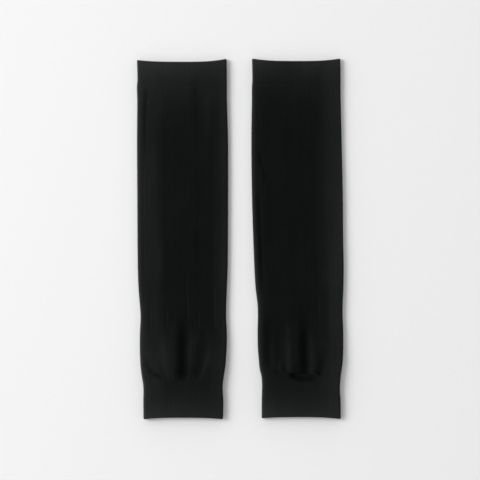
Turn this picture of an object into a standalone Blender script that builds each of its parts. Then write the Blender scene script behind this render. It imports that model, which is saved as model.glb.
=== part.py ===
"""Two seamless knit arm sleeves, laid flat side by side with their wrist ends towards -Y.

Each sleeve is one flattened tube of knit in three pieces: a wrist cuff, an arm tube and a turned
upper band. A piece is a closed wall that is open at both ends: its outer rings run up the sleeve
and its inner rings run back down. The pair is centred on the origin and rests on z = 0.
"""

import math
from typing import NamedTuple

import bmesh
import bpy

MM = 0.001  # every size below is in millimetres

# Lengths along a sleeve, measured up from its wrist end.
SLEEVE_LENGTH = 386.2
CUFF_TOP = 38.0
BAND_BOTTOM = 359.0
SEAM_GAP = 0.3
AXIS_OFFSET = 61.8  # from the pair's middle to each sleeve's own axis

# Walls.
TUBE_WALL = 1.8
CUFF_WALL = 2.4
BAND_WALL = 1.9
RIM_ROUND = 0.6  # the turned edge of an open end
LEAST_HOLLOW = 0.3  # between the two layers at the deepest crease

# Rings along the sleeve, closer together where it is gathered.
CUFF_RINGS = 6
BAND_RINGS = 5
GATHER_TOP = 62.0
SWELL_TOP = 112.0
GATHER_PITCH = 3.2
SWELL_PITCH = 6.4
ARM_PITCH = 22.5

# How one ring is divided.
FRONT_SPANS = 28
BACK_SPANS = 6
SIDE_SPANS = 3

DOME_POWER = 3.0  # how squarely the front stays up towards the side folds
CREASE_EASE = 8.0  # how late the creases die away towards the side folds
END_CURVE = 2.5  # how late an end's line turns towards its corners
MOUTH_STEP = 1.0  # the back layer shows this far past the front one at the mouth
WRIST_STEP = 0.5
ROUTE_STEPS = 24
SHARPEST_SMOOTH = math.radians(50)


class Section(NamedTuple):
    """The sleeve at one distance from the wrist end."""

    along: float
    left: float  # from the axis to the left side fold
    right: float
    fold: float  # height of the side folds
    crown: float  # height of the front's middle


class Crease(NamedTuple):
    """A ridge or trough in the front, along a curve through three points (across, along)."""

    start: tuple
    middle: tuple
    end: tuple
    rise: float  # above the smooth front, and below it if negative
    half_width: float
    fade_start: float  # share of the length over which it dies away
    fade_end: float


class End(NamedTuple):
    """An open end's line: its middle, and how far its corners lie past it."""

    middle: float
    left: float
    right: float


class Sleeve(NamedTuple):
    name: str
    side: int  # -1 on the left, +1 on the right
    wrist: End
    mouth: End
    sections: tuple
    creases: tuple


class Piece(NamedTuple):
    """One zone of a sleeve: the stations of its rings, its two end lines and its wall."""

    name: str
    stations: tuple
    lower: End
    upper: End
    wall: float
    opens_below: bool  # its lower end is a turned edge, not a seam
    opens_above: bool


LEFT_SECTIONS = (
    # along, left, right, fold, crown
    Section(0.0, 41.9, 43.4, 5.6, 5.8),
    Section(20.0, 42.1, 43.7, 5.7, 5.9),
    Section(29.0, 41.9, 43.1, 5.8, 6.0),
    Section(37.0, 42.2, 43.1, 5.9, 6.2),
    Section(46.0, 43.6, 44.1, 6.0, 6.5),
    Section(54.0, 44.7, 45.4, 5.7, 6.7),
    Section(63.0, 45.4, 46.4, 5.4, 6.7),
    Section(80.0, 45.9, 47.4, 4.9, 6.5),
    Section(93.0, 45.7, 47.4, 4.6, 6.2),
    Section(106.0, 45.1, 46.7, 4.4, 5.8),
    Section(115.0, 45.2, 46.6, 4.3, 5.4),
    Section(140.0, 47.2, 47.4, 4.2, 5.0),
    Section(165.0, 48.1, 48.3, 4.1, 4.9),
    Section(243.0, 48.6, 48.7, 4.0, 4.7),
    Section(300.0, 48.9, 48.6, 4.0, 4.6),
    Section(340.0, 48.6, 47.5, 4.3, 4.8),
    Section(356.0, 49.0, 47.5, 4.4, 4.9),
    Section(364.0, 48.4, 47.4, 4.5, 5.0),
    Section(387.0, 48.9, 47.1, 4.5, 4.9),
)

RIGHT_SECTIONS = (
    # along, left, right, fold, crown
    Section(0.0, 39.0, 45.8, 5.4, 5.6),
    Section(20.0, 38.9, 45.6, 5.5, 5.7),
    Section(29.0, 38.7, 45.0, 5.7, 5.9),
    Section(37.0, 38.6, 45.0, 5.9, 6.2),
    Section(46.0, 39.2, 45.7, 6.1, 6.5),
    Section(54.0, 41.0, 46.8, 6.0, 6.7),
    Section(63.0, 42.0, 48.0, 5.7, 6.7),
    Section(80.0, 43.2, 48.5, 5.1, 6.5),
    Section(97.0, 43.3, 48.4, 4.7, 6.1),
    Section(110.0, 43.0, 47.8, 4.6, 5.7),
    Section(123.0, 43.4, 47.9, 4.6, 5.4),
    Section(140.0, 45.4, 48.6, 4.6, 5.1),
    Section(165.0, 46.9, 48.9, 4.5, 5.0),
    Section(200.0, 48.2, 48.3, 4.4, 4.9),
    Section(243.0, 49.5, 48.0, 4.2, 4.7),
    Section(300.0, 50.0, 46.7, 4.1, 4.6),
    Section(340.0, 49.5, 45.8, 4.4, 4.8),
    Section(356.0, 49.4, 45.5, 4.5, 4.9),
    Section(364.0, 48.9, 45.6, 4.6, 5.0),
    Section(387.0, 49.4, 45.2, 4.6, 5.0),
)

LEFT_CREASES = (
    # start, middle, end, rise, half_width, fade_start, fade_end
    Crease((0.2, 38.5), (0.6, 72.0), (1.2, 120.0), -2.2, 9.6, 0.15, 0.42),
    Crease((-9.5, 41.0), (-18.4, 68.0), (-17.6, 116.0), 0.6, 6.5, 0.12, 0.45),
    Crease((12.6, 42.0), (18.7, 67.0), (23.4, 102.0), -0.9, 9.0, 0.18, 0.40),
    Crease((18.0, 41.5), (27.2, 61.0), (34.0, 90.0), 0.5, 5.0, 0.12, 0.45),
    Crease((-41.4, 73.0), (-36.0, 54.8), (-22.0, 45.4), -0.9, 5.0, 0.25, 0.30),
    Crease((16.9, 120.0), (16.9, 230.0), (15.8, 353.0), -0.3, 7.0, 0.20, 0.60),
    Crease((-39.6, 290.0), (-39.6, 320.0), (-39.6, 350.0), -0.3, 5.0, 0.30, 0.30),
)

RIGHT_CREASES = (
    # start, middle, end, rise, half_width, fade_start, fade_end
    Crease((6.4, 47.0), (6.8, 76.0), (5.2, 124.0), -2.2, 8.0, 0.05, 0.45),
    Crease((-9.4, 50.0), (-9.0, 76.0), (-10.6, 120.0), 0.8, 5.5, 0.12, 0.50),
    Crease((16.0, 51.0), (16.4, 72.0), (15.4, 102.0), 0.5, 5.5, 0.15, 0.50),
    Crease((22.2, 46.5), (25.4, 60.0), (29.5, 82.0), -0.75, 6.6, 0.15, 0.55),
    Crease((-33.0, 55.0), (-32.8, 86.0), (-31.0, 122.0), -1.0, 8.0, 0.12, 0.45),
    Crease((-20.6, 58.0), (-20.6, 78.0), (-21.0, 104.0), -0.45, 8.0, 0.20, 0.35),
    Crease((-9.5, 52.8), (6.0, 54.2), (22.0, 51.0), 0.8, 4.5, 0.20, 0.25),
    Crease((-11.0, 47.6), (5.0, 44.0), (23.0, 44.8), -1.7, 5.4, 0.20, 0.25),
    Crease((-42.5, 286.0), (-39.0, 270.0), (-36.0, 254.0), -0.4, 5.0, 0.30, 0.30),
)

SLEEVES = (
    Sleeve("left", -1, End(1.6, -1.8, -1.7), End(383.4, 1.9, 3.2), LEFT_SECTIONS, LEFT_CREASES),
    Sleeve("right", 1, End(2.2, -1.3, -2.1), End(384.2, 2.7, 2.7), RIGHT_SECTIONS, RIGHT_CREASES),
)

# Linear colour and roughness of each kind of piece.
KNITS = {
    "wrist_cuff": ((0.013, 0.0135, 0.013), 0.92),
    "arm_tube": ((0.010, 0.0105, 0.010), 0.95),
    "upper_band": ((0.015, 0.0155, 0.015), 0.90),
}


def clear_scene():
    for obj in list(bpy.data.objects):
        bpy.data.objects.remove(obj, do_unlink=True)


def smooth(share):
    """Eases from 0 to 1 as the share does."""
    held = min(max(share, 0.0), 1.0)
    return held * held * (3.0 - 2.0 * held)


def between(low, high, share):
    return low + (high - low) * share


def section_at(sections, along):
    """The section at any distance, on a smooth curve through the table's rows."""
    upper = next((i for i, row in enumerate(sections) if row.along >= along), len(sections) - 1)
    upper = max(upper, 1)
    before, low = sections[max(upper - 2, 0)], sections[upper - 1]
    high, after = sections[upper], sections[min(upper + 1, len(sections) - 1)]
    span = high.along - low.along
    t = (along - low.along) / span
    values = []
    for a, b, c, d in zip(before, low, high, after):
        start_slope = (c - a) / (high.along - before.along) * span
        end_slope = (d - b) / (after.along - low.along) * span
        values.append(
            (1 + 2 * t) * (1 - t) ** 2 * b
            + t * (1 - t) ** 2 * start_slope
            + t * t * (3 - 2 * t) * c
            + t * t * (t - 1) * end_slope
        )
    return Section(*values)


def route_point(crease, t):
    """A point on the curve that leaves the start, passes through the middle and reaches the end."""
    points = zip(crease.start, crease.middle, crease.end)
    return tuple(
        (1 - t) * (1 - 2 * t) * first + 4 * t * (1 - t) * mid + t * (2 * t - 1) * last
        for first, mid, last in points
    )


def crease_rise(crease, across, along):
    """How far the crease lifts or sinks the front at a point."""
    nearest = min(
        (math.dist(route_point(crease, step / ROUTE_STEPS), (across, along)), step / ROUTE_STEPS)
        for step in range(ROUTE_STEPS + 1)
    )
    distance, t = nearest
    if distance >= crease.half_width:
        return 0.0
    bell = (1 + math.cos(math.pi * distance / crease.half_width)) / 2
    return crease.rise * bell * smooth(t / crease.fade_start) * smooth((1 - t) / crease.fade_end)


def front_height(sleeve, section, across, along, wall):
    """Height of the front's outer face above the floor."""
    reach = section.left if across < 0 else section.right
    share = min(abs(across) / (reach - section.fold / 2), 1.0)
    height = between(section.crown, section.fold, share**DOME_POWER)
    ease = 1 - share**CREASE_EASE
    height += ease * sum(crease_rise(crease, across, along) for crease in sleeve.creases)
    return max(height, 2 * wall + LEAST_HOLLOW)


def side_fold(middle, radius, first_turn, inset):
    """Half a circle of points round one side, started but not finished by its first turn."""
    reach = radius - inset
    turns = [first_turn + math.pi * step / SIDE_SPANS for step in range(SIDE_SPANS)]
    return [(middle + reach * math.cos(turn), radius + reach * math.sin(turn)) for turn in turns]


def ring_outline(sleeve, section, along, wall, inset):
    """(across, height) of each point of one ring, anticlockwise as seen from the wrist end."""
    radius = section.fold / 2
    low_side = -section.left + radius
    high_side = section.right - radius
    back = [(between(low_side, high_side, step / BACK_SPANS), inset) for step in range(BACK_SPANS)]
    front = []
    for step in range(FRONT_SPANS):
        across = between(high_side, low_side, step / FRONT_SPANS)
        front.append((across, front_height(sleeve, section, across, along, wall) - inset))
    high_fold = side_fold(high_side, radius, -math.pi / 2, inset)
    low_fold = side_fold(low_side, radius, math.pi / 2, inset)
    return back + high_fold + front + low_fold


def end_line(end, share):
    """Where an open end's line lies, at a share of the way out to its left or right corner."""
    corner = end.left if share < 0 else end.right
    return end.middle + corner * abs(share) ** END_CURVE


def ring_points(sleeve, piece, along, inset, setback):
    """The ring's points in the sleeve's own frame: across, along and up."""
    first, last = piece.stations[0], piece.stations[-1]
    t = (along - first) / (last - first)
    section = section_at(sleeve.sections, along)
    points = []
    for across, height in ring_outline(sleeve, section, along, piece.wall, inset):
        share = across / (section.left if across < 0 else section.right)
        shift = (end_line(piece.lower, share) - first) * (1 - t)
        shift += (end_line(piece.upper, share) - last) * t
        raised = min(height / section.fold, 1.0)
        if piece.opens_below:
            shift += WRIST_STEP * raised * (1 - t)
        if piece.opens_above:
            shift -= MOUTH_STEP * raised * t
        points.append((across * MM, (along + shift + setback) * MM, height * MM))
    return points


def pull_back(piece, along):
    """How far the last outer and inner rings stand back from a turned edge."""
    if piece.opens_below and along == piece.stations[0]:
        return RIM_ROUND
    if piece.opens_above and along == piece.stations[-1]:
        return -RIM_ROUND
    return 0.0


def ring_plan(piece):
    """(along, inset, setback) of each ring: up the outside, over the rim and down the inside."""
    bottom, top = piece.stations[0], piece.stations[-1]
    outside = [(along, 0.0, pull_back(piece, along)) for along in piece.stations]
    inside = [(along, piece.wall, setback) for along, _, setback in reversed(outside)]
    rim_insets = (RIM_ROUND, piece.wall - RIM_ROUND)
    upper_rim = [(top, inset, 0.0) for inset in rim_insets if piece.opens_above]
    lower_rim = [(bottom, inset, 0.0) for inset in reversed(rim_insets) if piece.opens_below]
    return outside + upper_rim + inside + lower_rim


def join_rings(mesh, ring, next_ring):
    """A band of quads between two rings with the same number of points."""
    for i in range(len(ring)):
        mesh.faces.new((ring[i - 1], ring[i], next_ring[i], next_ring[i - 1]))


def knit_material(name, kind):
    colour, roughness = KNITS[kind]
    material = bpy.data.materials.new(name)
    material.use_nodes = True
    shader = material.node_tree.nodes["Principled BSDF"]
    shader.inputs["Base Color"].default_value = (*colour, 1.0)
    shader.inputs["Roughness"].default_value = roughness
    shader.inputs["Metallic"].default_value = 0.0
    return material


def make_piece(sleeve, piece, holder):
    """One piece of the sleeve as a closed wall, parented to the sleeve's empty."""
    mesh = bmesh.new()
    rings = [
        [mesh.verts.new(point) for point in ring_points(sleeve, piece, along, inset, setback)]
        for along, inset, setback in ring_plan(piece)
    ]
    for ring, next_ring in zip(rings, rings[1:] + rings[:1]):
        join_rings(mesh, ring, next_ring)
    bmesh.ops.recalc_face_normals(mesh, faces=mesh.faces)
    name = f"{sleeve.name}_{piece.name}"
    data = bpy.data.meshes.new(name)
    mesh.to_mesh(data)
    mesh.free()
    data.shade_smooth()
    data.set_sharp_from_angle(angle=SHARPEST_SMOOTH)
    data.materials.append(knit_material(name, piece.name))
    obj = bpy.data.objects.new(name, data)
    obj.parent = holder
    bpy.context.scene.collection.objects.link(obj)


def even_stations(low, high, rings):
    return tuple(between(low, high, step / (rings - 1)) for step in range(rings))


def tube_stations(low, high):
    """Close rings where the tube is gathered, and wider ones further up the arm."""
    stations = [low]
    zones = ((GATHER_TOP, GATHER_PITCH), (SWELL_TOP, SWELL_PITCH), (high, ARM_PITCH))
    for top, pitch in zones:
        bottom = stations[-1]
        count = math.ceil((top - bottom) / pitch)
        stations.extend(between(bottom, top, (step + 1) / count) for step in range(count))
    return tuple(stations)


def straight_end(along):
    return End(along, 0.0, 0.0)


def pieces_of(sleeve):
    cuff_end = CUFF_TOP - SEAM_GAP / 2
    tube_start = CUFF_TOP + SEAM_GAP / 2
    tube_end = BAND_BOTTOM - SEAM_GAP / 2
    band_start = BAND_BOTTOM + SEAM_GAP / 2
    cuff = Piece(
        "wrist_cuff",
        even_stations(0.0, cuff_end, CUFF_RINGS),
        sleeve.wrist,
        straight_end(cuff_end),
        CUFF_WALL,
        True,
        False,
    )
    tube = Piece(
        "arm_tube",
        tube_stations(tube_start, tube_end),
        straight_end(tube_start),
        straight_end(tube_end),
        TUBE_WALL,
        False,
        False,
    )
    band = Piece(
        "upper_band",
        even_stations(band_start, SLEEVE_LENGTH, BAND_RINGS),
        straight_end(band_start),
        sleeve.mouth,
        BAND_WALL,
        False,
        True,
    )
    return cuff, tube, band


def make_sleeve(sleeve):
    holder = bpy.data.objects.new(f"{sleeve.name}_sleeve", None)
    holder.location = (sleeve.side * AXIS_OFFSET * MM, -SLEEVE_LENGTH / 2 * MM, 0.0)
    bpy.context.scene.collection.objects.link(holder)
    for piece in pieces_of(sleeve):
        make_piece(sleeve, piece, holder)


def main():
    clear_scene()
    for sleeve in SLEEVES:
        make_sleeve(sleeve)


main()
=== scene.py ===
"""Looks of a pair of seamless knit arm sleeves, laid flat side by side on a pale surface.

Every piece is a shell of knit on its solid's form. Its wales are real relief, counted all the way
round the tube, and its single stitches are bump. Sizes are in millimetres where nothing else is
said.
"""

import math
from typing import NamedTuple

import bpy
import numpy as np
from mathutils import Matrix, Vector


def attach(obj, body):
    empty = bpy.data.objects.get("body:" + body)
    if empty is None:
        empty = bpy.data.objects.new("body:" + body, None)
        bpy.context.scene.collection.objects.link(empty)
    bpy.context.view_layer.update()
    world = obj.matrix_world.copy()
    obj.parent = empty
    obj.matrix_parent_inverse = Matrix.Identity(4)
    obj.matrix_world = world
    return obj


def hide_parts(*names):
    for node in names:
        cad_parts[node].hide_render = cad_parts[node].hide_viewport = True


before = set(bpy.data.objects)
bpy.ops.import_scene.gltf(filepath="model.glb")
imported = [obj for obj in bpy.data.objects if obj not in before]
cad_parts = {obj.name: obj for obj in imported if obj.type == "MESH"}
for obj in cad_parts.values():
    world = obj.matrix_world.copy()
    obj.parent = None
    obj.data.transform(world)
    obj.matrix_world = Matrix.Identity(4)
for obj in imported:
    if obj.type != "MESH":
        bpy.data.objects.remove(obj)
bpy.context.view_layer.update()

MM = 0.001

# Lengths along a sleeve, measured up from its wrist end.
SLEEVE_LENGTH = 386.2
CUFF_TOP = 38.0
BAND_BOTTOM = 359.0

SEAM_GAP = 0.01  # between two pieces
AXIS_OFFSET = 61.8  # from the pair's middle to each sleeve's own axis

# Walls.
TUBE_WALL = 1.8
CUFF_WALL = 2.4
BAND_WALL = 1.9
LEAST_HOLLOW = 0.3  # between the two layers at the deepest crease
MOUTH_STEP = 1.0  # how far the back layer shows past the front one at the mouth
WRIST_STEP = 0.5  # and at the wrist
WELT_DEPTH = 0.12  # the groove where the turned band ends
WELT_REACH = 1.6  # to each side of it

# How the front's curves are shaped.
DOME_POWER = 3.0  # how squarely the front stays up towards the side folds
CREASE_EASE = 8.0  # how late the creases die away towards the side folds
END_CURVE = 3.0  # how late an end's line turns towards its corners
ROUTE_STEPS = 40  # straight runs along one crease

# Wales, the columns of stitches.
WALES = 132  # all round each sleeve
WALE_SAMPLES = 4  # points across one wale
WALE_SEED = 7
SHALLOWEST_WALE, DEEPEST_WALE = 0.7, 1.3  # shares of a piece's relief
CUFF_RELIEF = 0.10
TUBE_RELIEF = 0.09
BAND_RELIEF = 0.08
COURSE = 1.15  # height of one row of stitches
STRAY_FADE = 4.0  # length over which a stray wale begins and ends
STRAY_NEIGHBOUR = 0.7  # how much darker the wale on a stray one's left is, as a share of its gain

# Greatest distances between rings, closer where the knit is gathered.
CUFF_PITCH = 1.6
CUFF_EASY_TOP = 30.0
CUFF_SEAM_PITCH = 0.8
GATHER_PITCH = 0.6
GATHER_TOP = 58.0
SWELL_PITCH = 1.6
SWELL_TOP = 118.0
ARM_PITCH = 4.0
BAND_PITCH = 1.4
INNER_RING_EVERY = 3  # outer rings for each inner one
RIM_STEPS = 6  # over the half turn of a rim

# How the tone changes over a sleeve, with painted shade in troughs and painted highlights on
# ridges, edges and the swell.
TROUGH_SHADE = 0.75  # painted shade: how much darker a trough is painted for each millimetre
RIDGE_HIGHLIGHT = 0.5  # painted highlight: how much paler a ridge is painted for each millimetre
SWELL_MIDDLE = 68.0  # where the painted highlight on the swell above the cuff is strongest
SWELL_REACH = 42.0
FAR_RIM_MIDDLE = 236.0  # where the painted highlight on the right side fold is strongest
FAR_RIM_REACH = 112.0

# The knit's material.
BLACK = (0.0038, 0.0050, 0.0047)
PALE_STEP = (0.0047, 0.0047, 0.0047)  # what each further step of tone adds, mostly painted highlight and partly mottling and stray wales
STITCH_DEPTHS = {"arm_knit": 0.16, "cuff_knit": 0.20, "band_knit": 0.18}  # for each slot
STITCH_SLANT = 1.6  # rows that the legs of a stitch rise over one wale
STITCH_BUMP = 0.6
FUZZ_SCALE, FUZZ_DETAIL = 1600.0, 4.0
FUZZ_SHARE = 0.7  # of a stitch's height
KNIT_ROUGHNESS = 0.92
ROUGHNESS_SPREAD = 0.06
ROUGHNESS_SCALE, ROUGHNESS_DETAIL = 60.0, 2.0
KNIT_SPECULAR = 0.05
KNIT_SHEEN = 0.02
SHEEN_ROUGHNESS = 0.5
WALE_TONE = 0.07  # how much paler or darker one wale is than another
STITCH_TONES = (0.85, 1.1)  # painted shade between the stitches and painted highlight on them

# The surface.
FLOOR_HALF = 12.0  # metres
FLOOR_COLOUR = (0.85, 0.85, 0.852, 1.0)
FLOOR_ROUGHNESS = 0.9
FLOOR_SPECULAR = 0.1

# The lamp and the sky, in metres and watts.
WINDOW_PLACE = (-3.4, 1.1, 2.15)
WINDOW_SIZE = 1.9
WINDOW_POWER = 137.5
SKY_TOP = 0.7  # the height, of 1, from which the sky is even
SKY_LOW_LIGHT = 2.26
SKY_HIGH_LIGHT = 0.362
SKY_TILT = (-0.4, 0.35, 0.0)  # how much stronger it is towards the upper left
SKY_COLOUR = (1.0, 1.0, 1.0, 1.0)

# The camera.
PICTURE = 480  # pixels across
PIXEL = 1.073  # millimetres of surface in one pixel
LENS = 85.0
SENSOR = 36.0
CAMERA_PLACE = (-0.32, -1.06)  # across and along, from the pair's middle


class Section(NamedTuple):
    """The sleeve at one distance from the wrist end."""

    along: float
    left: float  # from the axis to the left side fold
    right: float
    fold: float  # height of the side folds
    crown: float  # height of the front's middle


class Crease(NamedTuple):
    """A ridge or trough in the front, along a curve through three points (across, along)."""

    start: tuple
    middle: tuple
    end: tuple
    rise: float  # above the smooth front, and below it if negative
    half_width: float
    fade_start: float  # share of the length over which it dies away
    fade_end: float


class End(NamedTuple):
    """An open end's line: its middle, and how far its corners lie past it."""

    middle: float
    left: float
    right: float


class EdgeHighlight(NamedTuple):
    """A painted highlight: how much paler the knit is painted at an edge than in the middle, and
    how far that reaches.
    """

    gain: float
    reach: float
    full: float = 0.0  # how far the gain stays whole


class Stray(NamedTuple):
    """A paler wale with a darker one on its left, along one stretch of the front."""

    across: float
    low: float
    high: float
    gain: float


class Ripple(NamedTuple):
    """A shallow wave all over the front: its length across and along, its turn and its rise."""

    across: float
    along: float
    turn: float
    rise: float


class Mottle(NamedTuple):
    """Soft blotches in the knit's tone."""

    scale: float  # blotches to the metre
    detail: float
    spread: float  # how much paler or darker they are


class Sleeve(NamedTuple):
    """One sleeve's measures, its creases and how its tone changes."""

    name: str
    side: int  # -1 on the left, +1 on the right
    first_wale: int  # gives each sleeve wales of its own
    # The sleeve's overall tone; the right sleeve's lower one is painted shade, as less of the
    # lamp's light reaches it.
    tone: float
    wrist: End
    mouth: End
    sections: tuple
    creases: tuple
    back_creases: tuple
    slides: tuple
    strays: tuple
    # Painted highlights: paler knit standing in for the light that falls on the ends, the sides
    # and the swell.
    mouth_highlight: EdgeHighlight
    wrist_highlight: EdgeHighlight
    left_highlight: EdgeHighlight
    right_highlight: EdgeHighlight
    rim_highlight: EdgeHighlight  # painted highlight on the left side fold, where the lamp's light falls on it
    far_rim_highlight: EdgeHighlight  # and on the right one, in the arm's middle
    corner_highlight: EdgeHighlight  # what the left corners add to the painted highlight of the mouth and the wrist
    swell_highlight: float


class Piece(NamedTuple):
    """One zone of a sleeve: the stations of its rings, its two end lines and its knit."""

    name: str
    stations: np.ndarray
    lower: End
    upper: End
    wall: float
    opens_below: bool
    opens_above: bool
    wale_depth: float
    slot: str


class Lap(NamedTuple):
    """Points round flattened rings, in the order back, right fold, front, left fold and back."""

    left: np.ndarray
    right: np.ndarray
    fold: np.ndarray
    crown: np.ndarray
    low_side: np.ndarray  # where the flat knit ends on the left
    high_side: np.ndarray
    parts: list  # True up to the end of each of the first four parts
    high_turn: np.ndarray  # angle round the right fold
    low_turn: np.ndarray
    flat_across: np.ndarray  # with the folds drawn in to where the flat knit ends
    on_front: np.ndarray
    on_back: np.ndarray

    def pick(self, back, high, front, low):
        """Takes each point's value from the part that it lies on."""
        return np.select(self.parts, [back, high, front, low], back)


LEFT_SECTIONS = (
    # along, left, right, fold, crown
    Section(0.0, 41.9, 43.4, 5.6, 5.8),
    Section(20.0, 42.1, 43.7, 5.7, 5.9),
    Section(29.0, 41.9, 43.1, 5.8, 6.0),
    Section(37.0, 42.2, 43.1, 5.9, 6.2),
    Section(46.0, 43.6, 44.1, 6.0, 6.5),
    Section(54.0, 44.7, 45.4, 5.7, 6.7),
    Section(63.0, 45.4, 46.4, 5.4, 6.7),
    Section(80.0, 45.9, 47.4, 4.9, 6.5),
    Section(93.0, 45.7, 47.4, 4.6, 6.2),
    Section(106.0, 45.1, 46.7, 4.4, 5.8),
    Section(115.0, 45.2, 46.6, 4.3, 5.4),
    Section(140.0, 47.2, 47.4, 4.2, 5.0),
    Section(165.0, 48.1, 48.3, 4.1, 4.9),
    Section(243.0, 48.6, 48.7, 4.0, 4.7),
    Section(300.0, 48.9, 48.6, 4.0, 4.6),
    Section(340.0, 48.6, 47.5, 4.3, 4.8),
    Section(356.0, 49.0, 47.5, 4.4, 4.9),
    Section(364.0, 48.4, 47.4, 4.5, 5.0),
    Section(387.0, 48.9, 47.1, 4.5, 4.9),
)

RIGHT_SECTIONS = (
    # along, left, right, fold, crown
    Section(0.0, 39.0, 45.8, 5.4, 5.6),
    Section(20.0, 38.9, 45.6, 5.5, 5.7),
    Section(29.0, 38.7, 45.0, 5.7, 5.9),
    Section(37.0, 38.6, 45.0, 5.9, 6.2),
    Section(46.0, 39.2, 45.7, 6.1, 6.5),
    Section(54.0, 41.0, 46.8, 6.0, 6.7),
    Section(63.0, 42.0, 48.0, 5.7, 6.7),
    Section(80.0, 43.2, 48.5, 5.1, 6.5),
    Section(97.0, 43.3, 48.4, 4.7, 6.1),
    Section(110.0, 43.0, 47.8, 4.6, 5.7),
    Section(123.0, 43.4, 47.9, 4.6, 5.4),
    Section(140.0, 45.4, 48.6, 4.6, 5.1),
    Section(165.0, 46.9, 48.9, 4.5, 5.0),
    Section(200.0, 48.2, 48.3, 4.4, 4.9),
    Section(243.0, 49.5, 48.0, 4.2, 4.7),
    Section(300.0, 50.0, 46.7, 4.1, 4.6),
    Section(340.0, 49.5, 45.8, 4.4, 4.8),
    Section(356.0, 49.4, 45.5, 4.5, 4.9),
    Section(364.0, 48.9, 45.6, 4.6, 5.0),
    Section(387.0, 49.4, 45.2, 4.6, 5.0),
)

LEFT_CREASES = (
    # start, middle, end, rise, half_width, fade_start, fade_end
    Crease((0.2, 38.5), (0.6, 72.0), (1.2, 120.0), -2.05, 9.6, 0.20, 0.42),
    Crease((-7.0, 44.0), (-7.4, 70.0), (-6.0, 100.0), -0.3, 6.0, 0.30, 0.40),
    Crease((0.6, 40.0), (0.9, 68.0), (1.0, 100.0), -0.25, 5.0, 0.30, 0.20),
    Crease((-9.5, 41.0), (-18.4, 68.0), (-17.6, 116.0), 0.6, 6.5, 0.12, 0.45),
    Crease((-8.6, 40.5), (-9.6, 47.0), (-11.0, 56.0), 0.3, 2.6, 0.30, 0.40),
    Crease((12.6, 42.0), (18.7, 67.0), (23.4, 102.0), -0.85, 10.0, 0.18, 0.40),
    Crease((21.0, 86.0), (22.2, 92.0), (22.6, 99.0), -0.3, 4.5, 0.30, 0.35),
    Crease((18.0, 41.5), (27.2, 61.0), (34.0, 90.0), 0.4, 4.8, 0.12, 0.45),
    Crease((-41.4, 73.0), (-36.0, 54.8), (-22.0, 45.4), -0.7, 4.2, 0.25, 0.30),
    Crease((-28.5, 49.0), (-25.0, 46.3), (-20.5, 44.0), -0.7, 2.8, 0.35, 0.35),
    Crease((-29.0, 58.0), (-29.0, 78.0), (-29.0, 102.0), -0.2, 4.5, 0.30, 0.40),
    Crease((16.9, 120.0), (16.9, 230.0), (15.8, 353.0), -0.2, 7.0, 0.20, 0.60),
    Crease((15.0, 165.0), (16.0, 190.0), (15.0, 215.0), -0.2, 6.0, 0.40, 0.40),
    Crease((-37.2, 359.0), (-40.4, 319.0), (-40.2, 258.0), -0.8, 4.2, 0.25, 0.45),
    Crease((-41.0, 118.0), (-42.6, 213.0), (-42.6, 322.0), -0.45, 3.6, 0.10, 0.20),
    Crease((-21.0, 364.0), (-22.0, 336.0), (-23.0, 306.0), 0.4, 8.5, 0.35, 0.40),
    Crease((13.5, 375.0), (14.5, 338.0), (15.5, 296.0), -0.4, 7.5, 0.50, 0.45),
    Crease((29.6, 356.0), (29.0, 322.0), (27.6, 280.0), 0.5, 9.5, 0.30, 0.45),
    Crease((-21.0, 198.0), (-22.0, 168.0), (-22.0, 136.0), 0.5, 7.5, 0.30, 0.30),
    Crease((-37.0, 156.0), (-36.0, 110.0), (-35.0, 64.0), -0.3, 9.0, 0.30, 0.30),
)

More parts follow.
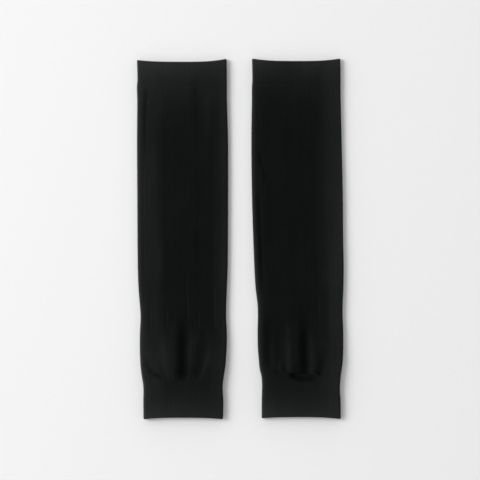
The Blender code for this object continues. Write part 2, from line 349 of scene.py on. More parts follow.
RIGHT_CREASES = (
    # start, middle, end, rise, half_width, fade_start, fade_end
    Crease((6.0, 47.0), (6.4, 76.0), (5.0, 124.0), -1.7, 8.4, 0.05, 0.45),
    Crease((8.0, 48.0), (8.2, 72.0), (7.4, 100.0), -0.5, 4.0, 0.10, 0.25),
    Crease((-9.4, 50.0), (-9.0, 76.0), (-10.6, 120.0), 0.9, 5.5, 0.12, 0.50),
    Crease((16.0, 51.0), (16.4, 72.0), (15.4, 102.0), 0.5, 5.5, 0.15, 0.50),
    Crease((22.2, 46.5), (25.4, 60.0), (29.5, 82.0), -0.75, 6.6, 0.15, 0.55),
    Crease((-33.0, 55.0), (-32.8, 86.0), (-31.0, 122.0), -1.0, 8.0, 0.12, 0.45),
    Crease((-20.6, 58.0), (-20.6, 78.0), (-21.0, 104.0), -0.45, 8.0, 0.20, 0.35),
    Crease((-18.6, 52.0), (-19.2, 56.5), (-19.6, 61.0), 0.6, 2.8, 0.30, 0.30),
    Crease((-12.6, 50.5), (-14.3, 55.0), (-16.2, 59.5), -0.45, 2.2, 0.30, 0.30),
    Crease((-23.0, 47.5), (-22.6, 51.0), (-22.0, 55.5), -0.3, 3.0, 0.30, 0.30),
    Crease((1.0, 54.0), (10.0, 54.0), (22.0, 51.0), 0.35, 3.6, 0.30, 0.25),
    Crease((-11.0, 47.6), (5.0, 44.0), (23.0, 44.8), -1.1, 5.4, 0.20, 0.25),
    Crease((-11.5, 47.6), (2.0, 49.8), (13.5, 48.6), -1.1, 2.0, 0.15, 0.30),
    Crease((-9.2, 47.0), (-1.0, 43.3), (8.4, 38.2), -0.9, 2.3, 0.15, 0.25),
    Crease((-8.0, 47.5), (-1.0, 46.8), (7.0, 46.4), -0.5, 2.4, 0.20, 0.35),
    Crease((-7.0, 50.4), (-1.0, 51.6), (5.0, 52.0), -0.6, 2.6, 0.30, 0.30),
    Crease((-6.4, 50.0), (-2.4, 54.5), (1.2, 63.0), -0.55, 3.4, 0.20, 0.40),
    Crease((21.5, 51.0), (23.4, 47.5), (23.8, 44.0), -0.5, 2.6, 0.30, 0.35),
    Crease((-41.8, 288.0), (-40.6, 278.0), (-38.4, 268.0), -1.3, 3.2, 0.25, 0.30),
    Crease((-38.6, 269.0), (-36.0, 261.5), (-33.0, 255.0), -0.6, 3.6, 0.30, 0.30),
    Crease((-43.0, 244.0), (-41.4, 203.0), (-37.2, 122.0), -1.3, 3.8, 0.12, 0.30),
    Crease((30.0, 146.0), (30.4, 112.0), (30.0, 78.0), -0.4, 7.0, 0.25, 0.25),
    Crease((-40.5, 128.0), (-42.8, 240.0), (-43.2, 355.0), -0.35, 3.6, 0.10, 0.15),
)

# The pouch hangs over the cuff: its lip slides towards the wrist, and the knit below it away.
# The rise is how far a point moves along the sleeve.
RIGHT_SLIDES = (
    # start, middle, end, rise, half_width, fade_start, fade_end
    Crease((-9.0, 48.5), (5.0, 49.7), (16.0, 48.4), 1.2, 2.4, 0.25, 0.30),
    Crease((-10.0, 52.6), (5.5, 53.8), (22.0, 51.0), -3.0, 5.2, 0.25, 0.25),
)

# The underside's troughs, which lift it off the surface.
LEFT_BACK_CREASES = (
    # start, middle, end, rise, half_width, fade_start, fade_end
    Crease((-24.0, 40.0), (-27.0, 64.0), (-29.0, 101.0), 0.7, 7.0, 0.15, 0.50),
    Crease((-13.0, 41.0), (-12.0, 60.0), (-14.0, 88.0), 0.5, 5.5, 0.15, 0.45),
    Crease((9.0, 41.0), (12.0, 66.0), (11.0, 112.0), 0.8, 7.5, 0.15, 0.50),
    Crease((27.0, 43.0), (31.0, 58.0), (38.0, 74.0), 0.5, 5.0, 0.25, 0.40),
    Crease((-38.0, 214.0), (-31.0, 236.0), (-27.0, 262.0), 0.3, 6.0, 0.35, 0.35),
    Crease((22.0, 300.0), (24.0, 326.0), (23.0, 350.0), 0.3, 6.5, 0.35, 0.35),
)

RIGHT_BACK_CREASES = (
    # start, middle, end, rise, half_width, fade_start, fade_end
    Crease((-22.0, 42.0), (-24.0, 62.0), (-21.0, 95.0), 0.6, 6.5, 0.15, 0.50),
    Crease((-6.0, 52.0), (-7.5, 74.0), (-6.5, 110.0), 0.8, 7.0, 0.20, 0.50),
    Crease((19.0, 41.0), (17.0, 58.0), (20.0, 84.0), 0.6, 5.5, 0.15, 0.45),
    Crease((33.0, 44.0), (36.0, 60.0), (37.0, 82.0), 0.4, 5.0, 0.25, 0.40),
    Crease((34.0, 176.0), (30.0, 199.0), (24.0, 220.0), 0.3, 6.0, 0.35, 0.35),
    Crease((-20.0, 318.0), (-23.0, 336.0), (-22.0, 352.0), 0.3, 6.0, 0.35, 0.35),
)

LEFT_STRAYS = (
    # across, low, high, gain
    Stray(4.3, 105.0, 157.0, 0.60),
    Stray(-17.2, 95.0, 119.0, 0.60),
    Stray(-34.3, 97.0, 120.0, 0.45),
    Stray(-8.3, 97.0, 119.0, 0.35),
    Stray(17.3, 97.0, 116.0, 0.60),
    Stray(34.4, 97.0, 141.0, 0.45),
    Stray(42.7, 97.0, 107.0, 0.40),
)

RIGHT_STRAYS = (
    # across, low, high, gain
    Stray(22.3, 112.0, 129.0, 0.50),
)

RIPPLES = (
    # across, along, turn, rise
    Ripple(61.0, 83.0, 0.4, 0.07),
    Ripple(-37.0, 118.0, 2.1, 0.05),
    Ripple(29.0, -64.0, 4.0, 0.04),
)

MOTTLES = (
    # scale, detail, spread
    Mottle(13.0, 1.0, 0.20),
    Mottle(40.0, 3.0, 0.14),
)

SLEEVES = (
    Sleeve(
        name="left",
        side=-1,
        first_wale=0,
        tone=0.97,
        wrist=End(1.6, -1.8, -1.7),
        mouth=End(383.4, 1.9, 3.2),
        sections=LEFT_SECTIONS,
        creases=LEFT_CREASES,
        back_creases=LEFT_BACK_CREASES,
        slides=(),
        strays=LEFT_STRAYS,
        mouth_highlight=EdgeHighlight(3.65, 25.0),
        wrist_highlight=EdgeHighlight(3.3, 21.5),
        left_highlight=EdgeHighlight(1.2, 32.0, 12.0),
        right_highlight=EdgeHighlight(1.5, 20.0),
        rim_highlight=EdgeHighlight(6.4, 3.4),
        far_rim_highlight=EdgeHighlight(0.0, 9.0),
        corner_highlight=EdgeHighlight(0.28, 26.0),
        swell_highlight=1.0,
    ),
    Sleeve(
        name="right",
        side=1,
        first_wale=500,
        tone=0.84,
        wrist=End(2.2, -1.3, -2.1),
        mouth=End(384.2, 2.7, 2.7),
        sections=RIGHT_SECTIONS,
        creases=RIGHT_CREASES,
        back_creases=RIGHT_BACK_CREASES,
        slides=RIGHT_SLIDES,
        strays=RIGHT_STRAYS,
        mouth_highlight=EdgeHighlight(3.45, 18.0),
        wrist_highlight=EdgeHighlight(3.4, 21.5),
        left_highlight=EdgeHighlight(0.6, 6.0),
        right_highlight=EdgeHighlight(2.45, 33.0),
        rim_highlight=EdgeHighlight(4.8, 3.0),
        far_rim_highlight=EdgeHighlight(2.6, 9.0),
        corner_highlight=EdgeHighlight(0.5, 28.0),
        swell_highlight=0.5,
    ),
)


def smooth(share):
    """Eases from 0 to 1 as the share does."""
    held = np.clip(share, 0.0, 1.0)
    return held * held * (3.0 - 2.0 * held)


def section_at(sections, along):
    """The section at any distance, on a smooth curve through the table's rows."""
    upper = next((i for i, row in enumerate(sections) if row.along >= along), len(sections) - 1)
    upper = max(upper, 1)
    before, low = sections[max(upper - 2, 0)], sections[upper - 1]
    high, after = sections[upper], sections[min(upper + 1, len(sections) - 1)]
    span = high.along - low.along
    t = (along - low.along) / span
    values = []  # each on a cubic that has the slopes of the rows around it
    for a, b, c, d in zip(before, low, high, after):
        start_slope = (c - a) / (high.along - before.along) * span
        end_slope = (d - b) / (after.along - low.along) * span
        values.append(
            (1 + 2 * t) * (1 - t) ** 2 * b
            + t * (1 - t) ** 2 * start_slope
            + t * t * (3 - 2 * t) * c
            + t * t * (t - 1) * end_slope
        )
    return Section(*values)


def route_points(crease):
    """Points of the curve from the start through the middle to the end."""
    t = np.linspace(0.0, 1.0, ROUTE_STEPS + 1)[:, None]
    start, middle, end = (np.array(p) for p in (crease.start, crease.middle, crease.end))
    return (1 - t) * (1 - 2 * t) * start + 4 * t * (1 - t) * middle + t * (2 * t - 1) * end


def crease_rise(crease, across, along):
    """How far the crease lifts or sinks the front at each point."""
    route = route_points(crease)
    distance = np.full(across.shape, np.inf)
    place = np.zeros(across.shape)
    for step, (first, second) in enumerate(zip(route, route[1:])):
        run = second - first
        t = ((across - first[0]) * run[0] + (along - first[1]) * run[1]) / (run @ run)
        t = np.clip(t, 0.0, 1.0)
        away = np.hypot(across - first[0] - t * run[0], along - first[1] - t * run[1])
        nearer = away < distance
        distance = np.where(nearer, away, distance)
        place = np.where(nearer, (step + t) / ROUTE_STEPS, place)
    bell = (1 + np.cos(math.pi * np.minimum(distance / crease.half_width, 1.0))) / 2
    fade = smooth(place / crease.fade_start) * smooth((1 - place) / crease.fade_end)
    return crease.rise * bell * fade


def rise_of(creases, across, along):
    """How far several creases lift or sink the knit at each point."""
    return sum((crease_rise(crease, across, along) for crease in creases), np.zeros(across.shape))


def ripple_rise(ripple, across, along):
    """How far the wave lifts or sinks the front at each point."""
    turn = 2 * math.pi * (across / ripple.across + along / ripple.along) + ripple.turn
    return ripple.rise * np.sin(turn)


def lap_round(sleeve, alongs, around):
    """Follows each flattened ring, from the back's middle to the right fold and on round."""
    rows = np.array([section_at(sleeve.sections, along) for along in alongs])
    left, right, fold, crown = (rows[:, i : i + 1] for i in range(1, 5))
    radius = fold / 2
    high_side, low_side = right - radius, radius - left
    half_turn = math.pi * radius
    front = high_side - low_side
    walked = around[None, :] * (2 * front + 2 * half_turn)
    to_high = high_side + 0 * walked
    to_front = to_high + half_turn
    to_low = to_front + front
    to_back = to_low + half_turn
    parts = [walked < to_high, walked < to_front, walked < to_low, walked < to_back]
    flat_across = np.select(
        parts,
        [walked, to_high, high_side - (walked - to_front), low_side + 0 * walked],
        low_side + (walked - to_back),
    )
    return Lap(
        left=left,
        right=right,
        fold=fold,
        crown=crown,
        low_side=low_side,
        high_side=high_side,
        parts=parts,
        high_turn=(walked - to_high) / radius - math.pi / 2,
        low_turn=(walked - to_low) / radius + math.pi / 2,
        flat_across=flat_across,
        on_front=(walked > to_front) & (walked < to_low),
        on_back=(walked < to_high) | (walked > to_back),
    )


def layer_heights(sleeve, lap, along, wall):
    """Height of the front's outside, how far the back lifts, and how deep the creases are."""
    flat = lap.flat_across
    share = np.minimum(np.abs(flat) / np.where(flat < 0, -lap.low_side, lap.high_side), 1.0)
    eased = 1 - share**CREASE_EASE
    creasing = eased * rise_of(sleeve.creases, flat, along)
    ripples = eased * sum(ripple_rise(ripple, flat, along) for ripple in RIPPLES)
    welt = WELT_DEPTH * smooth(1 - np.abs(along - BAND_BOTTOM) / WELT_REACH)
    top = lap.crown + (lap.fold - lap.crown) * share**DOME_POWER + creasing + ripples - welt
    top = np.maximum(top, 2 * wall + LEAST_HOLLOW)
    room = top - 2 * wall - LEAST_HOLLOW
    lift = np.minimum(eased * rise_of(sleeve.back_creases, flat, along), room)
    return top, lift, lap.on_front * creasing - lap.on_back * lift


def end_line(end, share):
    """Where an open end's line lies, at a share of the way out to its left or right corner."""
    corner = np.where(share < 0, end.left, end.right)
    return end.middle + corner * np.abs(share) ** END_CURVE


def eased_highlight(wear, distance):
    """The painted highlight's gain at a distance from an edge: whole as far as it is full, and
    gone at its reach.
    """
    return wear.gain * smooth((wear.reach - distance) / (wear.reach - wear.full))


def fading_highlight(wear, distance):
    """The painted highlight's gain at a distance from an edge, which fades by the same share over
    every reach.
    """
    return wear.gain * np.exp(-np.maximum(distance, 0) / wear.reach)


def tone_of(sleeve, lap, across, along, creasing):
    """The knit's tone: the sleeve's own, paler with painted highlights at edges, ends, swell and
    ridges, and darker with painted shade in troughs.
    """
    share = across / np.where(across < 0, lap.left, lap.right)
    from_mouth = end_line(sleeve.mouth, share) - along
    from_wrist = along - end_line(sleeve.wrist, share)
    from_left, from_right = lap.left + across, lap.right - across
    swell = smooth(1 - np.abs(along - SWELL_MIDDLE) / SWELL_REACH)
    far_rim = smooth(1 - np.abs(along - FAR_RIM_MIDDLE) / FAR_RIM_REACH)
    corner = 1 + eased_highlight(sleeve.corner_highlight, from_left)
    gains = (
        corner * fading_highlight(sleeve.mouth_highlight, from_mouth),
        corner * fading_highlight(sleeve.wrist_highlight, from_wrist),
        eased_highlight(sleeve.left_highlight, from_left),
        eased_highlight(sleeve.right_highlight, from_right),
        fading_highlight(sleeve.rim_highlight, from_left),
        eased_highlight(sleeve.far_rim_highlight, from_right) * far_rim,
        sleeve.swell_highlight * swell,
    )
    lightened = 1 + np.sqrt(sum(gain * gain for gain in gains))
    # Painted highlight on ridges and painted shade in troughs, from each point's crease depth.
    ridge = 1 + RIDGE_HIGHLIGHT * np.maximum(creasing, 0)
    return sleeve.tone * lightened * ridge * np.exp(TROUGH_SHADE * np.minimum(creasing, 0))


def wale_at(sleeve, across, along):
    """The number of the wale at a place on the front."""
    here = section_at(sleeve.sections, along)
    girth = 2 * (here.left + here.right - here.fold) + math.pi * here.fold
    walked = 2 * here.right - here.fold + math.pi * here.fold / 2 - across
    return round(walked / girth * WALES)


def stray_shade(sleeve, alongs, around):
    """How much paler or darker the stray wales are at each point."""
    wale = np.floor(around * WALES + 0.5)
    shade = np.ones((len(alongs), len(around)))
    for stray in sleeve.strays:
        pale = wale_at(sleeve, stray.across, (stray.low + stray.high) / 2)
        picked = (wale == pale) - STRAY_NEIGHBOUR * (wale == pale + 1)
        begun = smooth((alongs - stray.low) / STRAY_FADE)
        left = smooth((stray.high - alongs) / STRAY_FADE)
        shade += stray.gain * (begun * left)[:, None] * picked[None, :]
    return shade


def shift_at(piece, alongs, share, raised):
    """How far points move along the sleeve, so that the piece's ends follow their lines."""
    first, last = piece.stations[0], piece.stations[-1]
    t = ((alongs - first) / (last - first))[:, None]
    shift = (end_line(piece.lower, share) - first) * (1 - t)
    shift += (end_line(piece.upper, share) - last) * t
    if piece.opens_below:
        shift += WRIST_STEP * raised * (1 - t)
    if piece.opens_above:
        shift -= MOUTH_STEP * raised * t
    return shift


def ring_points(sleeve, piece, alongs, around, inset, setback):
    """Points of several rings, in metres in the row frame, and the knit's tone at each.

    The inset is each point's depth below the outside, and the setback how far a ring is drawn in.
    """
    lap = lap_round(sleeve, alongs, around)
    flat = lap.flat_across
    along = alongs[:, None] + 0 * flat
    top, lift, creasing = layer_heights(sleeve, lap, along, piece.wall)
    radius = lap.fold / 2
    reach = radius - inset
    across = lap.pick(
        flat,
        lap.high_side + reach * np.cos(lap.high_turn),
        flat,
        lap.low_side + reach * np.cos(lap.low_turn),
    )
    height = lap.pick(
        inset + lift,
        radius + reach * np.sin(lap.high_turn),
        top - inset,
        radius + reach * np.sin(lap.low_turn),
    )
    slide = rise_of(sleeve.slides, flat, along) * (lap.on_front & (inset < piece.wall / 2))
    share = across / np.where(across < 0, lap.left, lap.right)
    raised = np.minimum(height / lap.fold, 1.0)
    along = alongs[:, None] + shift_at(piece, alongs, share, raised) + setback + slide
    x = across + sleeve.side * AXIS_OFFSET
    y = along - SLEEVE_LENGTH / 2
    tone = tone_of(sleeve, lap, across, along, creasing) * stray_shade(sleeve, alongs, around)
    return np.stack([x, y, height], axis=2) * MM, tone


def knit_inset(sleeve, piece, around, strength):
    """How far each point lies below the crests of its wales."""
    rng = np.random.default_rng(WALE_SEED + sleeve.first_wale)
    depth = piece.wale_depth * rng.uniform(SHALLOWEST_WALE, DEEPEST_WALE, WALES)
    wale = around * WALES
    dip = (1 - np.cos(2 * math.pi * wale)) / 2
    by_wale = depth[np.floor(wale + 0.5).astype(int) % WALES]
    return strength[:, None] * (dip * by_wale)[None, :]


class Shell:
    """Collects rings of points and the faces between them."""

    def __init__(self, first_wale):
        self.first_wale = first_wale
        self.points = []
        self.uvs = []
        self.tones = []
        self.faces = []
        self.sharp = []
        self.count = 0

    def add_rings(self, points, tone, around, courses):
        """Adds rings of equal counts and returns the index of each one's points."""
        rings, count = points.shape[:2]
        wale = np.broadcast_to(self.first_wale + around * WALES, (rings, count))
        course = np.broadcast_to(courses[:, None], (rings, count))
        self.points.append(points.reshape(-1, 3))
        self.uvs.append(np.stack([wale, course], axis=2).reshape(-1, 2))
        self.tones.append(tone.reshape(-1))
        index = self.count + np.arange(rings * count).reshape(rings, count)
        self.count += rings * count
        return index

    def join_even(self, index):
        """Quads between successive rings with the same number of points."""
        low, high = index[:-1], index[1:]
        quads = np.stack([low, np.roll(low, -1, 1), np.roll(high, -1, 1), high], axis=2)
        self.faces.extend(quads.reshape(-1, 4).tolist())

    def join_coarse(self, fine, coarse, above):
        """Closes the wall's end, from a fine ring to one with fewer points."""
        step = len(fine) // len(coarse)
        for k, here in enumerate(coarse):
            there = coarse[(k + 1) % len(coarse)]
            run = [fine[(k * step + j) % len(fine)] for j in range(step + 1)]
            face = [int(i) for i in (there, here, *run)]
            self.faces.append(face[::-1] if above else face)

    def add_sharp(self, ring):
        """Keeps a ring's edge sharp, so that the two sides of a seam are shaded alike."""
        self.sharp.extend(zip(ring.tolist(), np.roll(ring, -1).tolist()))


def knit_uvs(data, shell):
    """Wale and course at each corner of the mesh's faces, unbroken across the first wale."""
    corners = np.empty(len(data.loops), np.int32)
    data.loops.foreach_get("vertex_index", corners)
    starts = np.empty(len(data.polygons), np.int32)
    data.polygons.foreach_get("loop_start", starts)
    sizes = np.diff(np.append(starts, len(corners)))
    uv = np.concatenate(shell.uvs)[corners]
    highest = np.repeat(np.maximum.reduceat(uv[:, 0], starts), sizes)
    uv[:, 0] += np.where(highest - uv[:, 0] > WALES / 2, WALES, 0)
    return uv


def build_mesh(name, shell):
    """The collected shell as a Blender mesh with its knit UVs and its tone."""
    data = bpy.data.meshes.new(name)
    data.from_pydata(np.concatenate(shell.points).tolist(), [], shell.faces)
    layer = data.uv_layers.new(name="knit")
    layer.data.foreach_set("uv", knit_uvs(data, shell).astype(np.float32).ravel())
    tone = data.attributes.new("tone", "FLOAT", "POINT")
    tone.data.foreach_set("value", np.concatenate(shell.tones).astype(np.float32))
    data.shade_smooth()
    if shell.sharp:
        wanted = {tuple(sorted(pair)) for pair in shell.sharp}
        flags = [tuple(sorted(edge.vertices)) in wanted for edge in data.edges]
        sharp = data.attributes.new("sharp_edge", "BOOLEAN", "EDGE")
        sharp.data.foreach_set("value", flags)
    data.update()
    return data


def stations_between(low, zones):
    """Distances from low up through the zones, each (top, greatest pitch)."""
    stations = [low]
    for top, pitch in zones:
        bottom = stations[-1]
        count = math.ceil((top - bottom) / pitch)
        stations.extend(bottom + (top - bottom) * (step + 1) / count for step in range(count))
    return np.array(stations)


def level(along):
    """A straight seam line."""
    return End(along, 0.0, 0.0)


def pieces_of(sleeve):
    """The sleeve's cuff, tube and band."""
    cuff_end, tube_start = CUFF_TOP - SEAM_GAP / 2, CUFF_TOP + SEAM_GAP / 2
    tube_end, band_start = BAND_BOTTOM - SEAM_GAP / 2, BAND_BOTTOM + SEAM_GAP / 2
    cuff_zones = ((CUFF_EASY_TOP, CUFF_PITCH), (cuff_end, CUFF_SEAM_PITCH))
    tube_zones = ((GATHER_TOP, GATHER_PITCH), (SWELL_TOP, SWELL_PITCH), (tube_end, ARM_PITCH))
    cuff = Piece(
        name="wrist_cuff",
        stations=stations_between(0.0, cuff_zones),
        lower=sleeve.wrist,
        upper=level(cuff_end),
        wall=CUFF_WALL,
        opens_below=True,
        opens_above=False,
        wale_depth=CUFF_RELIEF,
        slot="cuff_knit",
    )
    tube = Piece(
        name="arm_tube",
        stations=stations_between(tube_start, tube_zones),
        lower=level(tube_start),
        upper=level(tube_end),
        wall=TUBE_WALL,
        opens_below=False,
        opens_above=False,
        wale_depth=TUBE_RELIEF,
        slot="arm_knit",
    )
    band = Piece(
        name="upper_band",
        stations=stations_between(band_start, ((SLEEVE_LENGTH, BAND_PITCH),)),
        lower=level(band_start),
        upper=sleeve.mouth,
        wall=BAND_WALL,
        opens_below=False,
        opens_above=True,
        wale_depth=BAND_RELIEF,
        slot="band_knit",
    )
    return cuff, tube, band


def end_setbacks(piece, rings):
    """How far each ring is drawn in: half the wall at an open end, where a rim takes its place."""
    setback = np.zeros(rings)
    setback[0] = piece.wall / 2 * piece.opens_below
    setback[-1] = -piece.wall / 2 * piece.opens_above
    return setback[:, None]


def add_outside(shell, sleeve, piece, around):
    """Adds the fine outer rings."""
    stations = piece.stations
    inset = knit_inset(sleeve, piece, around, np.ones(len(stations)))
    setback = end_setbacks(piece, len(stations))
    points, tone = ring_points(sleeve, piece, stations, around, inset, setback)
    rings = shell.add_rings(points, tone, around, stations / COURSE)
    shell.join_even(rings)
    return rings


def add_inside(shell, sleeve, piece, around):
    """Adds the plain inner rings."""
    stations = np.unique(np.append(piece.stations[::INNER_RING_EVERY], piece.stations[-1]))
    inset = np.full((len(stations), len(around)), piece.wall)
    setback = end_setbacks(piece, len(stations))
    points, tone = ring_points(sleeve, piece, stations, around, inset, setback)
    rings = shell.add_rings(points, tone, around, stations / COURSE)
    shell.join_even(rings[::-1])
    return rings


def add_rim(shell, sleeve, piece, around, outer, above):
    """Rolls an open end's knit over from its outer ring, and returns the last ring."""
    half_wall = piece.wall / 2
    inward = -1.0 if above else 1.0
    turns = np.linspace(0.0, math.pi, RIM_STEPS + 1)[1:-1]
    stations = np.full(len(turns), piece.stations[-1 if above else 0])
    relief = knit_inset(sleeve, piece, around, 1 - turns / math.pi)
    inset = half_wall * (1 - np.cos(turns))[:, None] + relief
    setback = inward * half_wall * (1 - np.sin(turns))[:, None]
    points, tone = ring_points(sleeve, piece, stations, around, inset, setback)
    rim = shell.add_rings(points, tone, around, (stations - inward * half_wall * turns) / COURSE)
    chain = np.concatenate([outer[None, :], rim])
    shell.join_even(chain if above else chain[::-1])
    return rim[-1]


def make_shell(sleeve, piece):
    """One piece as a closed wall: fine outside, plain inside, and a round rim at an open end."""
    fine = np.arange(WALES * WALE_SAMPLES) / (WALES * WALE_SAMPLES)
    coarse = np.arange(WALES) / WALES
    shell = Shell(sleeve.first_wale)
    outer = add_outside(shell, sleeve, piece, fine)
    inner = add_inside(shell, sleeve, piece, coarse)
    for end, opens, above in ((0, piece.opens_below, False), (-1, piece.opens_above, True)):
        last = outer[end]
        if opens:
            last = add_rim(shell, sleeve, piece, fine, last, above)
        else:
            shell.add_sharp(last)
            shell.add_sharp(inner[end])
        shell.join_coarse(last, inner[end], above)
    return shell


class Nodes:
    """Adds and links shader nodes of one tree."""

    def __init__(self, tree):
        self.tree = tree

    def link(self, source, target):
        """Links an output to an input."""
        self.tree.links.new(source, target)

    def add(self, kind, inputs=(), **settings):
        """Adds a node, with its first inputs linked or set and its settings."""
        node = self.tree.nodes.new(kind)
        for name, value in settings.items():
            setattr(node, name, value)
        for index, value in enumerate(inputs):
            if isinstance(value, bpy.types.NodeSocket):
                self.link(value, node.inputs[index])
            else:
                node.inputs[index].default_value = value
        return node

    def math(self, operation, *inputs):
        """The result of a calculation with up to three values."""
        return self.add("ShaderNodeMath", inputs, operation=operation).outputs[0]

    def spread(self, value, low, high):
        """Maps a value from 0..1 to low..high."""
        return self.math("MULTIPLY_ADD", value, high - low, low)

    def scaled(self, vector, factor):
        """A vector times a value."""
        node = self.add("ShaderNodeVectorMath", (vector,), operation="SCALE")
        self.link(factor, node.inputs["Scale"])
        return node.outputs["Vector"]

    def noise(self, vector, scale, detail):
        """Soft noise from 0 to 1."""
        node = self.add("ShaderNodeTexNoise")
        node.inputs["Scale"].default_value = scale
        node.inputs["Detail"].default_value = detail
        self.link(vector, node.inputs["Vector"])
        return node.outputs["Fac"]


def stitch_height(nodes, wale, course):
    """From 0 between the stitches to 1 on the two slanted legs of each one.

    The loop along a leg and the bulge across it are parabolas, 0 at both ends and 1 in the middle.
    """
    leg = nodes.math("ABSOLUTE", nodes.math("SUBTRACT", nodes.math("FRACT", wale), 0.5))
    row = nodes.math("FRACT", nodes.math("MULTIPLY_ADD", leg, STITCH_SLANT, course))
    rest = nodes.math("SUBTRACT", 1.0, row)
    loop = nodes.math("MULTIPLY", nodes.math("MULTIPLY", row, 4.0), rest)
    off_leg = nodes.math("MULTIPLY_ADD", leg, 4.0, -1.0)
    bulge = nodes.math("SUBTRACT", 1.0, nodes.math("MULTIPLY", off_leg, off_leg))
    return nodes.math("MULTIPLY", loop, bulge)


def knit_colour(nodes, place, wale, stitch):
    """The knit's black, paler where the tone is over 1 and darker where it is under, with mottling
    and uneven wales; the tone carries painted highlight and painted shade.
    """
    tone = nodes.add("ShaderNodeAttribute", attribute_name="tone").outputs["Fac"]
    number = nodes.math("FLOOR", nodes.math("ADD", wale, 0.5))
    uneven = nodes.add("ShaderNodeTexWhiteNoise", noise_dimensions="1D")
    nodes.link(number, uneven.inputs["W"])
    by_wale = nodes.spread(uneven.outputs["Value"], 1 - WALE_TONE, 1 + WALE_TONE)
    tone = nodes.math("MULTIPLY", tone, by_wale)
    for mottle in MOTTLES:
        blotches = nodes.noise(place, mottle.scale, mottle.detail)
        mottling = nodes.spread(blotches, 1 - mottle.spread, 1 + mottle.spread)
        tone = nodes.math("MULTIPLY", tone, mottling)
    # Painted shade between the stitches, painted highlight on their legs.
    tone = nodes.math("MULTIPLY", tone, nodes.spread(stitch, *STITCH_TONES))
    plain = nodes.scaled(BLACK, nodes.math("MINIMUM", tone, 1.0))
    lightened = nodes.scaled(PALE_STEP, nodes.math("MAXIMUM", nodes.math("SUBTRACT", tone, 1.0), 0.0))
    return nodes.add("ShaderNodeVectorMath", (plain, lightened), operation="ADD").outputs["Vector"]


def knit_material(name, stitch_depth):
    """Plain knit: slanted legs of stitches, fuzz, soft mottling and uneven wales."""
    material = bpy.data.materials.new(name)
    material.use_nodes = True
    nodes = Nodes(material.node_tree)
    shader = material.node_tree.nodes["Principled BSDF"]
    uv = nodes.add("ShaderNodeUVMap", uv_map="knit").outputs["UV"]
    knit = nodes.add("ShaderNodeSeparateXYZ", (uv,)).outputs
    place = nodes.add("ShaderNodeTexCoord").outputs["Object"]
    stitch = stitch_height(nodes, knit["X"], knit["Y"])
    fuzz = nodes.noise(place, FUZZ_SCALE, FUZZ_DETAIL)
    bump = nodes.add("ShaderNodeBump")
    bump.inputs["Strength"].default_value = STITCH_BUMP
    bump.inputs["Distance"].default_value = stitch_depth * MM
    nodes.link(nodes.math("MULTIPLY_ADD", fuzz, FUZZ_SHARE, stitch), bump.inputs["Height"])
    nodes.link(bump.outputs["Normal"], shader.inputs["Normal"])
    nodes.link(knit_colour(nodes, place, knit["X"], stitch), shader.inputs["Base Color"])
    rough = nodes.spread(
        nodes.noise(place, ROUGHNESS_SCALE, ROUGHNESS_DETAIL),
        KNIT_ROUGHNESS - ROUGHNESS_SPREAD,
        KNIT_ROUGHNESS + ROUGHNESS_SPREAD,
    )
    nodes.link(rough, shader.inputs["Roughness"])
    shader.inputs["Specular IOR Level"].default_value = KNIT_SPECULAR
    shader.inputs["Sheen Weight"].default_value = KNIT_SHEEN
    shader.inputs["Sheen Roughness"].default_value = SHEEN_ROUGHNESS
    return material


def make_piece(sleeve, piece, materials):
    """Builds one piece, ties it to the body and hides the solid that it dresses."""
    node = f"{sleeve.name}_{piece.name}"
    name = f"{node}_knit"
    obj = bpy.data.objects.new(name, build_mesh(name, make_shell(sleeve, piece)))
    bpy.context.scene.collection.objects.link(obj)
    obj.data.materials.append(materials[piece.slot])
    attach(obj, "root")
    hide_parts(node)


def make_floor():
    """The pale surface that the sleeves lie on."""
    half = FLOOR_HALF
    corners = [(-half, -half, 0), (half, -half, 0), (half, half, 0), (-half, half, 0)]
    data = bpy.data.meshes.new("floor")
    data.from_pydata(corners, [], [(0, 1, 2, 3)])
    floor = bpy.data.objects.new("floor", data)
    bpy.context.scene.collection.objects.link(floor)
    material = bpy.data.materials.new("floor_paper")
    material.use_nodes = True
    shader = material.node_tree.nodes["Principled BSDF"]
    shader.inputs["Base Color"].default_value = FLOOR_COLOUR
    shader.inputs["Roughness"].default_value = FLOOR_ROUGHNESS
    shader.inputs["Specular IOR Level"].default_value = FLOOR_SPECULAR
    data.materials.append(material)
    return floor


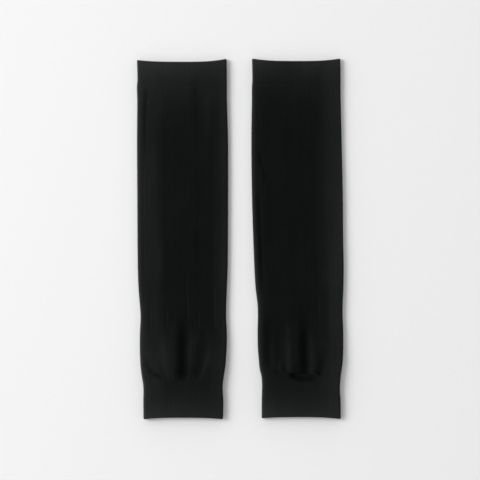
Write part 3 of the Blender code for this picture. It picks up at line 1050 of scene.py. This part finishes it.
def make_window():
    """The large soft lamp on the upper left, which throws the shadows to the right."""
    lamp = bpy.data.lights.new("window", "AREA")
    lamp.shape = "SQUARE"
    lamp.size = WINDOW_SIZE
    lamp.energy = WINDOW_POWER
    obj = bpy.data.objects.new("window", lamp)
    obj.location = WINDOW_PLACE
    obj.rotation_euler = (-Vector(WINDOW_PLACE)).to_track_quat("-Z", "Y").to_euler()
    bpy.context.scene.collection.objects.link(obj)


def make_world():
    """Soft white light all round, strongest near the horizon."""
    world = bpy.data.worlds.new("studio")
    world.use_nodes = True
    nodes = Nodes(world.node_tree)
    way = nodes.add("ShaderNodeTexCoord").outputs["Generated"]
    height = nodes.add("ShaderNodeSeparateXYZ", (way,)).outputs["Z"]
    ramp = nodes.add(
        "ShaderNodeMapRange",
        (height, 0.0, SKY_TOP, SKY_LOW_LIGHT, SKY_HIGH_LIGHT),
        interpolation_type="SMOOTHSTEP",
    )
    tilt = nodes.add("ShaderNodeVectorMath", (way, SKY_TILT), operation="DOT_PRODUCT")
    gain = nodes.math("ADD", tilt.outputs["Value"], 1.0)
    back = world.node_tree.nodes["Background"]
    back.inputs["Color"].default_value = SKY_COLOUR
    nodes.link(nodes.math("MULTIPLY", ramp.outputs["Result"], gain), back.inputs["Strength"])
    bpy.context.scene.world = world


def make_camera():
    """Looks straight down on the pair, at the photo's scale."""
    camera = bpy.data.cameras.new("camera")
    camera.lens = LENS
    camera.sensor_width = SENSOR
    obj = bpy.data.objects.new("camera", camera)
    x, y = CAMERA_PLACE
    obj.location = (x * MM, y * MM, PICTURE * PIXEL * MM * LENS / SENSOR)
    bpy.context.scene.collection.objects.link(obj)
    bpy.context.scene.camera = obj


def main():
    """Builds the whole scene."""
    floor = make_floor()
    materials = {slot: knit_material(slot, depth) for slot, depth in STITCH_DEPTHS.items()}
    for sleeve in SLEEVES:
        for piece in pieces_of(sleeve):
            make_piece(sleeve, piece, materials)
    make_window()
    make_camera()
    make_world()
    bpy.context.scene.view_settings.view_transform = "Standard"


main()
